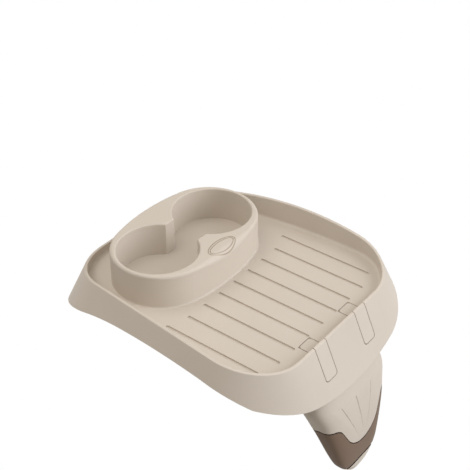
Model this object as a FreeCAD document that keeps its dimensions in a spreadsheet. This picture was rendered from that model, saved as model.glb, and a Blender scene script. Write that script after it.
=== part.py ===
import FreeCAD, Part
import math
import os
import Sketcher

# Hot tub tray: a one-piece tray that sits on the round top of a spa wall, with a
# raised well for two containers, two flush hooks over the front rim and a leg that
# hangs down the side of the wall and carries a soft grip. Millimetres.
# The origin is the point of the underside that rests on top of the wall. X runs
# across the tray, -Y points to the side where the leg hangs, and Z is up.

doc = FreeCAD.newDocument("HotTubTray")
sheet = doc.addObject("Spreadsheet::Sheet", "Sizes")

SIZES = [
    ("floor_thick", 2.5),
    ("wall_thick", 2.4),
    # Outline at the level of the rim's highest point; the skirt flares out below it.
    ("outline_front", 98.0),
    ("outline_back", 103.0),
    ("outline_half_width", 98.0),
    ("side_centre_y", 28.0),
    ("side_radius", 329.0),
    ("front_corner_radius", 44.7),
    ("back_corner_radius", 49.6),
    ("skirt_draft", 25.0),
    ("skirt_reach", 62.0),
    # The rim is an arch seen from the side.
    ("rim_apex", 23.4),
    ("rim_apex_y", 4.2),
    ("rim_arch_radius", 402.0),
    ("rim_land", 2.3),
    ("rim_round", 0.8),
    # Lower edge of the skirt: a long arch, a tighter bend at each end, and a bow
    # across the front.
    ("edge_apex", 6.6),
    ("edge_apex_y", -6.2),
    ("edge_radius", 289.0),
    ("edge_front_radius", 133.0),
    ("edge_bend_y", 52.2),
    ("edge_back_y", 30.0),
    ("edge_back_radius", 215.0),
    ("edge_bow_depth", 34.1),
    ("edge_bow_radius", 221.0),
    # The sunken floor inside the rim.
    ("basin_centre_y", 46.0),
    ("basin_side_radius", 515.0),
    ("floor_round", 2.6),
    # Drain grooves.
    ("groove_pitch", 19.0),
    ("groove_width", 2.8),
    ("groove_depth", 1.3),
    ("groove_back_y", 3.0),
    ("groove_length", 85.2),
    ("groove_outer_shift", 6.0),
    # The container well.
    ("well_height", 30.4),
    ("well_front_y", 1.9),
    ("well_centre_y", 47.5),
    ("well_half_width", 71.5),
    ("well_end_radius", 42.0),
    ("well_round", 2.2),
    ("well_front_round", 6.5),
    ("well_base_round", 1.4),
    ("pocket_radius", 33.6),
    ("pocket_offset", 34.4),
    ("pocket_waist", 17.0),
    ("pocket_round", 1.0),
    ("badge_length", 31.0),
    ("badge_width", 14.5),
    ("badge_y", 9.6),
    ("badge_line", 0.7),
    ("badge_step", 1.8),
    ("badge_depth", 0.4),
    # Ribs under the floor, which rest on the wall of the spa.
    ("spa_wall_radius", 110.0),
    ("rib_thick", 2.0),
    ("rib_x", 52.0),
    ("rib_reach", 50.0),
    ("rib_depth", 12.0),
    # Hooks over the front rim.
    ("hook_x", 27.0),
    ("hook_width", 14.6),
    ("hook_thick", 1.2),
    ("hook_pad", 12.4),
    ("hook_drop", 18.4),
    ("hook_corner", 3.0),
    ("hook_gap", 0.3),
    ("stud_radius", 3.0),
    ("stud_drop", 11.5),
    ("stud_length", 6.2),
    ("screw_radius", 1.5),
    ("screw_head_radius", 3.2),
    ("screw_head_thick", 1.8),
    ("screw_length", 8.0),
    ("screw_seat", 2.5),
    ("hook_screw_length", 6.0),
    ("screw_gap", 0.1),
    # The leg: stations down its length, each with its height, half width, front and depth.
    ("station1_down", 1.0),
    ("station1_half", 37.0),
    ("station1_front", 106.1),
    ("station1_depth", 34.0),
    ("station2_down", 16.5),
    ("station2_half", 40.5),
    ("station2_front", 113.2),
    ("station2_depth", 42.0),
    ("station3_down", 31.0),
    ("station3_half", 43.6),
    ("station3_front", 119.6),
    ("station3_depth", 38.6),
    ("station4_down", 45.0),
    ("station4_half", 45.0),
    ("station4_front", 126.2),
    ("station4_depth", 35.2),
    ("station5_down", 59.5),
    ("station5_half", 41.6),
    ("station5_front", 130.1),
    ("station5_depth", 32.5),
    ("station6_down", 73.5),
    ("station6_half", 36.5),
    ("station6_front", 132.6),
    ("station6_depth", 29.1),
    ("station7_down", 98.2),
    ("station7_half", 29.6),
    ("station7_front", 134.1),
    ("station7_depth", 19.6),
    ("station8_down", 119.1),
    ("station8_half", 18.6),
    ("station8_front", 133.4),
    ("station8_depth", 14.8),
    ("station9_down", 128.4),
    ("station9_half", 12.8),
    ("station9_front", 129.2),
    ("station9_depth", 11.6),
    ("station10_down", 134.6),
    ("station10_half", 8.0),
    ("station10_front", 125.2),
    ("station10_depth", 8.4),
    ("station11_down", 138.6),
    ("station11_half", 3.2),
    ("station11_front", 122.6),
    ("station11_depth", 3.8),
    ("leg_squareness", 3.4),
    ("leg_wall", 2.4),
    ("split_radius", 119.0),
    ("split_centre_down", 110.0),
    ("shell_gap", 0.2),
    ("grip_thick", 2.0),
    ("grip_gap", 0.1),
    ("grip_side_top", 66.0),
    ("grip_side_slope", 16.0),
    ("grip_seam", 0.25),
    ("tongue_bottom", 98.5),
    ("tongue_half_width", 28.8),
    ("tongue_radius", 17.0),
    ("tube_radius", 4.2),
    ("shell_screw_x", 19.0),
    ("shell_screw_upper", 32.0),
    ("shell_screw_lower", 57.0),
]

for row, (alias, value) in enumerate(SIZES, start=1):
    sheet.set("A%d" % row, alias)
    sheet.set("B%d" % row, str(value))
    sheet.setAlias("B%d" % row, alias)
doc.recompute()


def size(alias):
    return float(getattr(sheet, alias))


ACROSS = FreeCAD.Rotation(0.5, 0.5, 0.5, 0.5)
FRONTAL = FreeCAD.Rotation(FreeCAD.Vector(1, 0, 0), 90)
LEVEL = FreeCAD.Rotation()


def new_sketch(name, rotation, base=None, place=None):
    """A sketch: LEVEL in XY, ACROSS in YZ (looking along X) or FRONTAL in XZ."""
    sketch = doc.addObject("Sketcher::SketchObject", name)
    sketch.Placement = FreeCAD.Placement(FreeCAD.Vector(*(base or (0, 0, 0))), rotation)
    for axis, formula in (place or {}).items():
        sketch.setExpression("Placement.Base." + axis, formula)
    return sketch


def add_line(sketch, start, end):
    return sketch.addGeometry(Part.LineSegment(FreeCAD.Vector(*start, 0), FreeCAD.Vector(*end, 0)))


def add_arc(sketch, centre, radius, start, end):
    circle = Part.Circle(FreeCAD.Vector(*centre, 0), FreeCAD.Vector(0, 0, 1), radius)
    return sketch.addGeometry(Part.ArcOfCircle(circle, start, end))


def bind(sketch, kind, parts, name, value, formula):
    """A dimension of the sketch that follows the sheet."""
    index = sketch.addConstraint(Sketcher.Constraint(kind, *parts, value))
    sketch.renameConstraint(index, name)
    sketch.setExpression("Constraints." + name, formula)


def extrude(name, base, length, back=0.0, taper=0.0, formula=None):
    solid = doc.addObject("Part::Extrusion", name)
    solid.Base = base
    solid.DirMode = "Normal"
    solid.Solid = True
    solid.LengthFwd = length
    solid.LengthRev = back
    solid.TaperAngle = taper
    for key, text in (formula or {}).items():
        solid.setExpression(key, text)
    return solid


def boolean(kind, name, base, tool):
    result = doc.addObject("Part::" + kind, name)
    result.Base = base
    result.Tool = tool
    return result


def fuse(name, shapes):
    result = doc.addObject("Part::MultiFuse", name)
    result.Shapes = shapes
    return result


def tray_outline(name, level, front, back, half_width, centre_y, side_r, front_r, back_r):
    """The tray's plan as a sketch of two lines and six arcs, tangent all the way round.

    Each argument is a pair of the number now and the formula that it follows.
    """
    sketch = new_sketch(name, LEVEL, (0, 0, level[0]), {"z": level[1]})
    fy, by, hw, cy = -front[0], back[0], half_width[0], -centre_y[0]
    cx = hw - side_r[0]
    y1 = fy + front_r[0]
    x1 = cx + math.sqrt((side_r[0] - front_r[0]) ** 2 - (y1 - cy) ** 2)
    y2 = by - back_r[0]
    x2 = cx + math.sqrt((side_r[0] - back_r[0]) ** 2 - (y2 - cy) ** 2)
    a1 = math.atan2(y1 - cy, x1 - cx)
    a2 = math.atan2(y2 - cy, x2 - cx)
    half = math.pi / 2
    g = [
        add_line(sketch, (-x1, fy), (x1, fy)),
        add_arc(sketch, (x1, y1), front_r[0], -half, a1),
        add_arc(sketch, (cx, cy), side_r[0], a1, a2),
        add_arc(sketch, (x2, y2), back_r[0], a2, half),
        add_line(sketch, (x2, by), (-x2, by)),
        add_arc(sketch, (-x2, y2), back_r[0], half, math.pi - a2),
        add_arc(sketch, (-cx, cy), side_r[0], math.pi - a2, math.pi - a1),
        add_arc(sketch, (-x1, y1), front_r[0], math.pi - a1, math.pi + half),
    ]
    for k in range(8):
        sketch.addConstraint(Sketcher.Constraint("Tangent", g[k], 2, g[(k + 1) % 8], 1))
    sketch.addConstraint(Sketcher.Constraint("Horizontal", g[0]))
    sketch.addConstraint(Sketcher.Constraint("Horizontal", g[4]))
    bind(sketch, "Radius", (g[1],), "front_right", *front_r)
    bind(sketch, "Radius", (g[7],), "front_left", *front_r)
    bind(sketch, "Radius", (g[3],), "back_right", *back_r)
    bind(sketch, "Radius", (g[5],), "back_left", *back_r)
    bind(sketch, "Radius", (g[2],), "side_right", *side_r)
    bind(sketch, "Radius", (g[6],), "side_left", *side_r)
    bind(sketch, "DistanceY", (g[0], 1, -1, 1), "front", *front)
    bind(sketch, "DistanceY", (-1, 1, g[4], 1), "back", *back)
    bind(sketch, "DistanceY", (g[2], 3, -1, 1), "centre_right", *centre_y)
    bind(sketch, "DistanceY", (g[6], 3, -1, 1), "centre_left", *centre_y)
    reach = (side_r[0] - half_width[0], "(%s) - (%s)" % (side_r[1], half_width[1]))
    bind(sketch, "DistanceX", (g[2], 3, -1, 1), "reach_right", *reach)
    bind(sketch, "DistanceX", (-1, 1, g[6], 3), "reach_left", *reach)
    return sketch


def pair(alias, extra=0.0, extra_formula=""):
    return (size(alias) + extra, "Sizes." + alias + extra_formula)


# Where the rim's arch meets the flared side at the front and at the back: the flared
# side leans out as the arch falls, so each reach is the root of a quadratic.
SLOPE = math.tan(math.radians(size("skirt_draft")))
ARCH = size("rim_arch_radius")
APEX_Y = size("rim_apex_y")


def rim_reach(start, apex_y):
    b = ARCH - SLOPE * apex_y
    return (b - math.sqrt(b * b - SLOPE * (SLOPE * apex_y ** 2 + 2 * ARCH * start))) / SLOPE


def rim_reach_formula(start, sign):
    slope = "tan(Sizes.skirt_draft * 1 deg)"
    b = "(Sizes.rim_arch_radius %s %s * Sizes.rim_apex_y)" % ("-" if sign > 0 else "+", slope)
    inner = "%s ^ 2 - %s * (%s * Sizes.rim_apex_y ^ 2 + 2 * Sizes.rim_arch_radius * Sizes.%s)"
    inner = inner % (b, slope, slope, start)
    return "(%s - sqrt(%s)) / %s" % (b, inner, slope)


RIM_FRONT = rim_reach(size("outline_front"), APEX_Y)
RIM_BACK = rim_reach(size("outline_back"), -APEX_Y)
SIDE_DROP = (size("side_centre_y") + APEX_Y) ** 2 / (2 * ARCH) * SLOPE
SIDE_DROP_FORMULA = ("(Sizes.side_centre_y + Sizes.rim_apex_y) ^ 2 / (2 * Sizes.rim_arch_radius)"
                     " * tan(Sizes.skirt_draft * 1 deg)")


def basin_outline(name, level, grow, grow_formula):
    """The plan of the sunken floor, kept one rim land inside the rim, grown by a wall."""
    land = size("rim_land")
    inset = "- Sizes.rim_land" + grow_formula
    return tray_outline(
        name, level,
        (RIM_FRONT - land + grow, rim_reach_formula("outline_front", 1) + inset),
        (RIM_BACK - land + grow, rim_reach_formula("outline_back", -1) + inset),
        (size("outline_half_width") + SIDE_DROP - land + grow,
         "Sizes.outline_half_width + " + SIDE_DROP_FORMULA + inset),
        pair("basin_centre_y"),
        pair("basin_side_radius", grow, grow_formula),
        pair("front_corner_radius", grow, grow_formula),
        pair("back_corner_radius", grow, grow_formula))


# Flared outer body of the tray.
outline = tray_outline(
    "TrayOutline", pair("rim_apex"), pair("outline_front"), pair("outline_back"),
    pair("outline_half_width"), pair("side_centre_y"), pair("side_radius"),
    pair("front_corner_radius"), pair("back_corner_radius"))
flare = extrude("TrayFlare", outline, 0, size("skirt_reach"), 0,
                {"LengthRev": "Sizes.skirt_reach", "TaperAngleRev": "Sizes.skirt_draft"})

# The same body one wall further in, which is the hollow under the rim.
WALL_ACROSS = size("wall_thick") / math.cos(math.radians(size("skirt_draft")))
ACROSS_FORMULA = "- Sizes.wall_thick / cos(Sizes.skirt_draft * 1 deg)"
inner_outline = tray_outline(
    "HollowOutline", pair("rim_apex"),
    pair("outline_front", -WALL_ACROSS, ACROSS_FORMULA),
    pair("outline_back", -WALL_ACROSS, ACROSS_FORMULA),
    pair("outline_half_width", -WALL_ACROSS, ACROSS_FORMULA),
    pair("side_centre_y"),
    pair("side_radius", -WALL_ACROSS, ACROSS_FORMULA),
    pair("front_corner_radius", -WALL_ACROSS, ACROSS_FORMULA),
    pair("back_corner_radius", -WALL_ACROSS, ACROSS_FORMULA))
inner_flare = extrude("HollowFlare", inner_outline, 0, size("skirt_reach"), 0,
                      {"LengthRev": "Sizes.skirt_reach + 1", "TaperAngleRev": "Sizes.skirt_draft"})

REACH = 175.0


def arch_height(y, apex, apex_y, radius):
    return apex - radius + math.sqrt(radius ** 2 - (y - apex_y) ** 2)


def side_arch(name, drop, drop_formula, floor_level):
    """Side view of what lies below an arch parallel to the rim, down to a flat level."""
    sketch = new_sketch(name, ACROSS)
    radius = ARCH - drop
    centre = (APEX_Y, size("rim_apex") - ARCH)
    a = math.asin(REACH / radius)
    left = (centre[0] - radius * math.sin(a), centre[1] + radius * math.cos(a))
    right = (centre[0] + radius * math.sin(a), left[1])
    g = [
        add_arc(sketch, centre, radius, math.pi / 2 - a, math.pi / 2 + a),
        add_line(sketch, left, (left[0], floor_level)),
        add_line(sketch, (left[0], floor_level), (right[0], floor_level)),
        add_line(sketch, (right[0], floor_level), right),
    ]
    for first, start, second, end in ((0, 2, 1, 1), (1, 2, 2, 1), (2, 2, 3, 1), (3, 2, 0, 1)):
        sketch.addConstraint(Sketcher.Constraint("Coincident", g[first], start, g[second], end))
    sketch.addConstraint(Sketcher.Constraint("Vertical", g[1]))
    sketch.addConstraint(Sketcher.Constraint("Horizontal", g[2]))
    sketch.addConstraint(Sketcher.Constraint("Vertical", g[3]))
    bind(sketch, "Radius", (g[0],), "arch", radius, "Sizes.rim_arch_radius" + drop_formula)
    bind(sketch, "DistanceX", (-1, 1, g[0], 3), "apex_y", APEX_Y, "Sizes.rim_apex_y")
    bind(sketch, "DistanceY", (g[0], 3, -1, 1), "centre_z", -centre[1],
         "Sizes.rim_arch_radius - Sizes.rim_apex")
    sketch.addConstraint(Sketcher.Constraint("DistanceX", g[2], 1, -1, 1, -left[0]))
    sketch.addConstraint(Sketcher.Constraint("DistanceX", -1, 1, g[2], 2, right[0]))
    sketch.addConstraint(Sketcher.Constraint("DistanceY", g[2], 1, -1, 1, -floor_level))
    return sketch


BELOW = -260.0
under_rim = extrude("UnderRim", side_arch("RimArch", 0.0, "", BELOW), REACH, REACH)
under_rim_inner = extrude(
    "UnderRimInner", side_arch("HollowArch", size("wall_thick"), "- Sizes.wall_thick", BELOW - 5),
    REACH, REACH)


def lower_edge():
    """Side view of what lies below the skirt's lower edge: three tangent arcs over a flat."""
    sketch = new_sketch("LowerEdge", ACROSS)
    big = size("edge_radius")
    small = size("edge_front_radius")
    rear = size("edge_back_radius")
    bend = -size("edge_bend_y")
    cy, cz = size("edge_apex_y"), size("edge_apex") - big
    lean = math.asin((cy - bend) / big)
    sy, sz = cy - (big - small) * math.sin(lean), cz + (big - small) * math.cos(lean)
    tip = math.asin((size("edge_back_y") - cy) / big)
    ry, rz = cy + (big - rear) * math.sin(tip), cz + (big - rear) * math.cos(tip)
    front, back = sy - small, ry + rear
    g = [
        add_arc(sketch, (ry, rz), rear, 0, math.pi / 2 - tip),
        add_arc(sketch, (cy, cz), big, math.pi / 2 - tip, math.pi / 2 + lean),
        add_arc(sketch, (sy, sz), small, math.pi / 2 + lean, math.pi),
        add_line(sketch, (front, sz), (front, BELOW)),
        add_line(sketch, (front, BELOW), (back, BELOW)),
        add_line(sketch, (back, BELOW), (back, rz)),
    ]
    for first, second in ((0, 1), (1, 2), (2, 3), (5, 0)):
        sketch.addConstraint(Sketcher.Constraint("Tangent", g[first], 2, g[second], 1))
    for first, second in ((3, 4), (4, 5)):
        sketch.addConstraint(Sketcher.Constraint("Coincident", g[first], 2, g[second], 1))
    sketch.addConstraint(Sketcher.Constraint("Vertical", g[3]))
    sketch.addConstraint(Sketcher.Constraint("Horizontal", g[4]))
    sketch.addConstraint(Sketcher.Constraint("Vertical", g[5]))
    bind(sketch, "Radius", (g[0],), "back_bend", rear, "Sizes.edge_back_radius")
    bind(sketch, "Radius", (g[1],), "long_arch", big, "Sizes.edge_radius")
    bind(sketch, "Radius", (g[2],), "front_bend", small, "Sizes.edge_front_radius")
    bind(sketch, "DistanceX", (-1, 1, g[1], 3), "apex_y", cy, "Sizes.edge_apex_y")
    bind(sketch, "DistanceY", (g[1], 3, -1, 1), "apex_z", -cz, "Sizes.edge_radius - Sizes.edge_apex")
    bind(sketch, "DistanceX", (g[2], 1, -1, 1), "bend", -bend, "Sizes.edge_bend_y")
    bind(sketch, "DistanceX", (-1, 1, g[0], 2), "turn", size("edge_back_y"), "Sizes.edge_back_y")
    sketch.addConstraint(Sketcher.Constraint("DistanceY", g[3], 2, -1, 1, -BELOW))
    return sketch


def front_bow():
    """Front view of what lies below the bow along the front of the skirt."""
    sketch = new_sketch("FrontBow", FRONTAL)
    radius = size("edge_bow_radius")
    centre = (0.0, radius - size("edge_bow_depth"))
    a = math.asin(REACH / radius)
    left = (-REACH, centre[1] - radius * math.cos(a))
    g = [
        add_arc(sketch, centre, radius, -math.pi / 2 - a, -math.pi / 2 + a),
        add_line(sketch, (REACH, left[1]), (REACH, BELOW)),
        add_line(sketch, (REACH, BELOW), (-REACH, BELOW)),
        add_line(sketch, (-REACH, BELOW), left),
    ]
    for first, second in ((0, 1), (1, 2), (2, 3)):
        sketch.addConstraint(Sketcher.Constraint("Coincident", g[first], 2, g[second], 1))
    sketch.addConstraint(Sketcher.Constraint("Coincident", g[3], 2, g[0], 1))
    sketch.addConstraint(Sketcher.Constraint("Vertical", g[1]))
    sketch.addConstraint(Sketcher.Constraint("Horizontal", g[2]))
    sketch.addConstraint(Sketcher.Constraint("Vertical", g[3]))
    bind(sketch, "Radius", (g[0],), "bow", radius, "Sizes.edge_bow_radius")
    bind(sketch, "DistanceY", (-1, 1, g[0], 3), "depth", centre[1],
         "Sizes.edge_bow_radius - Sizes.edge_bow_depth")
    sketch.addConstraint(Sketcher.Constraint("PointOnObject", g[0], 3, -2))
    sketch.addConstraint(Sketcher.Constraint("DistanceX", -1, 1, g[2], 1, REACH))
    sketch.addConstraint(Sketcher.Constraint("DistanceX", g[2], 2, -1, 1, REACH))
    sketch.addConstraint(Sketcher.Constraint("DistanceY", g[2], 1, -1, 1, -BELOW))
    return sketch


below_edge = extrude("BelowEdge", lower_edge(), REACH, REACH)
below_bow = extrude("BelowBow", front_bow(), REACH)
envelope = boolean("Common", "FlareUnderRim", flare, under_rim)
hollow = boolean("Common", "HollowUnderRim", inner_flare, under_rim_inner)
trimmed = boolean("Cut", "SkirtBody", boolean("Cut", "SkirtOverEdge", envelope, below_edge), below_bow)
skirt = boolean("Cut", "Skirt", trimmed, hollow)


def edges_where(shape, test):
    return [i for i, edge in enumerate(shape.Edges, start=1) if test(edge)]


def mid_point(edge):
    return edge.valueAt((edge.FirstParameter + edge.LastParameter) / 2)


def level_edge(edge, z):
    return all(abs(vertex.Point.z - z) < 0.01 for vertex in edge.Vertexes) and \
        abs(mid_point(edge).z - z) < 0.01


def fillet(name, base, groups):
    """Rounds edges of a solid; each group is a list of edge numbers and a radius."""
    result = doc.addObject("Part::Fillet", name)
    result.Base = base
    result.Edges = [(edge, radius, radius) for edges, radius in groups for edge in edges]
    return result


# The pan: the sunken floor and its wall, rounded inside and outside.
FLOOR = size("floor_thick")
pan_block = extrude(
    "PanBlock", basin_outline("PanOutline", (0.0, "0"), size("wall_thick"), "+ Sizes.wall_thick"), 60)
doc.recompute()
pan_rounded = fillet("PanRounded", pan_block, [
    (edges_where(pan_block.Shape, lambda e: level_edge(e, 0)),
     size("floor_round") + size("wall_thick"))])
pan = boolean("Common", "Pan", pan_rounded, envelope)
basin_block = extrude("BasinBlock", basin_outline("BasinOutline", pair("floor_thick"), 0.0, ""), 60)
doc.recompute()
basin = fillet("Basin", basin_block, [
    (edges_where(basin_block.Shape, lambda e: level_edge(e, FLOOR)), size("floor_round"))])
open_tray = boolean("Cut", "OpenTray", boolean("Fuse", "SkirtAndPan", skirt, pan), basin)


def well_outline(name, level, grow, grow_formula):
    """Plan of the well: two halves of a long front arc, a long back arc and two round ends."""
    sketch = new_sketch(name, LEVEL, (0, 0, level[0]), {"z": level[1]})
    r = size("well_end_radius") + grow
    x = size("well_half_width") - size("well_end_radius")
    d = size("well_centre_y") - size("well_front_y") + grow
    yc = size("well_centre_y")
    big = (x * x + d * d - r * r) / (2 * (d - r))
    radius = "(Sizes.well_end_radius %s)" % grow_formula
    ends = "(Sizes.well_half_width - Sizes.well_end_radius)"
    deep = "(Sizes.well_centre_y - Sizes.well_front_y %s)" % grow_formula
    big_formula = "(%s ^ 2 + %s ^ 2 - %s ^ 2) / (2 * (%s - %s))" % (ends, deep, radius, deep, radius)
    centre = yc - d + big
    a = math.atan2(yc - centre, x)
    g = [
        add_arc(sketch, (0, centre), big, -math.pi / 2, a),
        add_arc(sketch, (x, yc), r, a, -a),
        add_arc(sketch, (0, 2 * yc - centre), big, -a, math.pi + a),
        add_arc(sketch, (-x, yc), r, math.pi + a, math.pi - a),
        add_arc(sketch, (0, centre), big, -math.pi - a, -math.pi / 2),
    ]
    for k in range(5):
        sketch.addConstraint(Sketcher.Constraint("Tangent", g[k], 2, g[(k + 1) % 5], 1))
    sketch.addConstraint(Sketcher.Constraint("PointOnObject", g[0], 1, -2))
    bind(sketch, "Radius", (g[1],), "end_right", r, radius)
    bind(sketch, "Radius", (g[3],), "end_left", r, radius)
    bind(sketch, "Radius", (g[0],), "front_arc", big, big_formula)
    bind(sketch, "Radius", (g[4],), "front_arc_left", big, big_formula)
    bind(sketch, "Radius", (g[2],), "back_arc", big, big_formula)
    bind(sketch, "DistanceX", (-1, 1, g[1], 3), "right_x", x, ends)
    bind(sketch, "DistanceX", (g[3], 3, -1, 1), "left_x", x, ends)
    bind(sketch, "DistanceY", (-1, 1, g[1], 3), "right_y", yc, "Sizes.well_centre_y")
    bind(sketch, "DistanceY", (-1, 1, g[3], 3), "left_y", yc, "Sizes.well_centre_y")
    return sketch


def placed(solid, x, y, z):
    solid.setExpression("Placement.Base.x", x)
    solid.setExpression("Placement.Base.y", y)
    solid.setExpression("Placement.Base.z", z)
    return solid


def cylinder(name, radius, height, x, y, z):
    """A vertical cylinder; each size is a formula."""
    solid = doc.addObject("Part::Cylinder", name)
    solid.setExpression("Radius", radius)
    solid.setExpression("Height", height)
    return placed(solid, x, y, z)


def rod(name, radius, length, x, y, z):
    """A cylinder along Y that starts at x, y, z and runs to the back."""
    solid = doc.addObject("Part::Cylinder", name)
    solid.Placement = FreeCAD.Placement(FreeCAD.Vector(), FreeCAD.Rotation(FreeCAD.Vector(1, 0, 0), -90))
    solid.setExpression("Radius", radius)
    solid.setExpression("Height", length)
    return placed(solid, x, y, z)


def box(name, length, width, height, x, y, z):
    """A box; each size is a formula and x, y, z are its low corner."""
    solid = doc.addObject("Part::Box", name)
    solid.setExpression("Length", length)
    solid.setExpression("Width", width)
    solid.setExpression("Height", height)
    return placed(solid, x, y, z)


WELL_TOP = FLOOR + size("well_height")
well_block = extrude(
    "WellBlock", well_outline("WellOutline", (0.0, "0"), 0.0, ""), WELL_TOP, 0, 0,
    {"LengthFwd": "Sizes.well_height + Sizes.floor_thick"})


def pocket_pair(name, grow, low, high):
    """Two round pockets joined by a waist; grow, low and high are formulas."""
    radius = "Sizes.pocket_radius " + grow
    height = "%s - (%s)" % (high, low)
    return fuse(name, [
        cylinder(name + "Right", radius, height, "Sizes.pocket_offset", "Sizes.well_centre_y", low),
        cylinder(name + "Left", radius, height, "-Sizes.pocket_offset", "Sizes.well_centre_y", low),
        box(name + "Waist", "2 * Sizes.pocket_offset", "2 * (Sizes.pocket_waist %s)" % grow, height,
            "-Sizes.pocket_offset", "Sizes.well_centre_y - (Sizes.pocket_waist %s)" % grow, low)])


pockets = pocket_pair("Pockets", "", "Sizes.floor_thick", "Sizes.well_height + Sizes.floor_thick + 2")
well_ring = boolean("Cut", "WellRing", well_block, pockets)
well_core_block = extrude(
    "WellCoreBlock",
    well_outline("WellCoreOutline", (-1.0, "-1"), -size("wall_thick"), "- Sizes.wall_thick"),
    WELL_TOP, 0, 0, {"LengthFwd": "1 + Sizes.well_height + Sizes.floor_thick - Sizes.wall_thick"})
well_core = boolean(
    "Cut", "WellCore", well_core_block,
    pocket_pair("PocketWalls", "+ Sizes.wall_thick", "-2",
                "Sizes.well_height + Sizes.floor_thick + 2"))
doc.recompute()


def at_pocket(point):
    """True on the edge of the two pockets and of the waist between them."""
    side = size("pocket_offset") * (1 if point.x > 0 else -1)
    in_ring = math.hypot(point.x - side, point.y - size("well_centre_y")) < size("pocket_radius") + 0.1
    in_waist = abs(point.y - size("well_centre_y")) < size("pocket_waist") + 0.1
    return in_ring or (in_waist and abs(point.x) < size("pocket_offset"))


def rolled(edge):
    """True on the two halves of the well's front arc, which meet on the centre plane."""
    return min(abs(vertex.Point.x) for vertex in edge.Vertexes) < 0.01 and mid_point(edge).y < 40


ring = well_ring.Shape
outer_edges = edges_where(ring, lambda e: level_edge(e, WELL_TOP) and not at_pocket(mid_point(e)))
pocket_edges = edges_where(ring, lambda e: level_edge(e, WELL_TOP) and at_pocket(mid_point(e)))
well = fillet("Well", well_ring, [
    ([k for k in outer_edges if not rolled(ring.Edges[k - 1])], size("well_round")),
    (pocket_edges, size("pocket_round"))])
# The front of the well rolls over softly in the middle.
for k in outer_edges:
    if rolled(ring.Edges[k - 1]):
        ends = [size("well_front_round") if abs(vertex.Point.x) < 0.01 else size("well_round")
                for vertex in ring.Edges[k - 1].Vertexes]
        well.Edges = well.Edges + [(k, ends[0], ends[1])]


def oval(name, shrink):
    """An upright oval block through the front roll of the well; shrink is a formula."""
    curve = doc.addObject("Part::Ellipse", name + "Curve")
    curve.setExpression("MajorRadius", "Sizes.badge_length / 2 " + shrink)
    curve.setExpression("MinorRadius", "Sizes.badge_width / 2 " + shrink)
    placed(curve, "0", "Sizes.badge_y", "Sizes.floor_thick + Sizes.well_height - 12")
    return extrude(name, curve, 14)


# The bare badge: two oval lines, one inside the other, sunk evenly into the well's roll.
badge_lines = fuse("BadgeLines", [
    boolean("Cut", "BadgeOuterLine", oval("BadgeOuter", ""), oval("BadgeOuterCore", "- Sizes.badge_line")),
    boolean("Cut", "BadgeInnerLine", oval("BadgeInner", "- Sizes.badge_step"),
            oval("BadgeInnerCore", "- Sizes.badge_step - Sizes.badge_line"))])
sunken_well = doc.addObject("Part::Compound", "SunkenWell")
sunken_well.Links = [well]
sunken_well.setExpression("Placement.Base.z", "-Sizes.badge_depth")
badge = boolean("Cut", "BadgeGroove", badge_lines, sunken_well)
sharp_well = boolean("Fuse", "TrayWithSharpWell", boolean("Cut", "PanWithHoleForWell", open_tray, pockets),
                     well)
doc.recompute()


def well_foot(edge):
    """True on the line where the well's outer wall stands on the floor."""
    q = mid_point(edge)
    near = abs(q.x) < size("well_half_width") + 0.1 and abs(q.y - size("well_centre_y")) < 46
    return level_edge(edge, FLOOR) and near and not at_pocket(q)


with_well = fillet("TrayWithWell", sharp_well, [
    (edges_where(sharp_well.Shape, well_foot), size("well_base_round"))])


def groove(number):
    """One drain groove with round ends; the outermost two sit further back."""
    middle = 4
    k = number - middle
    shift = "+ Sizes.groove_outer_shift" if abs(k) == middle else ""
    x = "%d * Sizes.groove_pitch" % k
    start = "-Sizes.groove_back_y - Sizes.groove_length " + shift
    name = "Groove%d" % (number + 1)
    level = "Sizes.floor_thick - Sizes.groove_depth"
    deep = "2 * Sizes.groove_depth"
    return [
        box(name, "Sizes.groove_width", "Sizes.groove_length", deep,
            x + " - Sizes.groove_width / 2", start, level),
        cylinder(name + "Front", "Sizes.groove_width / 2", deep, x, start, level),
        cylinder(name + "Back", "Sizes.groove_width / 2", deep, x, start + " + Sizes.groove_length", level)]


grooves = fuse("Grooves", [piece for number in range(9) for piece in groove(number)])
doc.recompute()


def rib(name, side):
    """A rib under the floor, cut to the round top of the wall that it rests on."""
    return box(name, "Sizes.rib_thick", "2 * Sizes.rib_reach", "Sizes.rib_depth",
               "%d * Sizes.rib_x - Sizes.rib_thick / 2" % side, "-Sizes.rib_reach",
               "1 - Sizes.rib_depth")


spa_wall = doc.addObject("Part::Cylinder", "SpaWall")
spa_wall.Placement = FreeCAD.Placement(
    FreeCAD.Vector(-REACH, 0, 0), FreeCAD.Rotation(FreeCAD.Vector(0, 1, 0), 90))
spa_wall.Height = 2 * REACH
spa_wall.setExpression("Radius", "Sizes.spa_wall_radius")
spa_wall.setExpression("Placement.Base.z", "-Sizes.spa_wall_radius")
ribs = boolean("Common", "Ribs",
               boolean("Cut", "RibsOverWall", fuse("RibPair", [rib("RibLeft", -1), rib("RibRight", 1)]),
                       spa_wall),
               inner_flare)
grooved = boolean("Cut", "CutGrooves", with_well, grooves)
cored = boolean("Fuse", "CoredTray", boolean("Cut", "CoredPan", grooved, well_core), ribs)
plain_tray = boolean("Cut", "PlainTray", cored, badge)
doc.recompute()


def on_arch(edge):
    """True on the edges of the rim's flat top."""
    radius = size("rim_arch_radius")
    points = [vertex.Point for vertex in edge.Vertexes] + [mid_point(edge)]
    return all(abs(math.hypot(q.y - APEX_Y, q.z - size("rim_apex") + radius) - radius) < 0.02
               for q in points)


rounded_tray = fillet("RoundedTray", plain_tray, [
    (edges_where(plain_tray.Shape, on_arch), size("rim_round"))])
doc.recompute()


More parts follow.
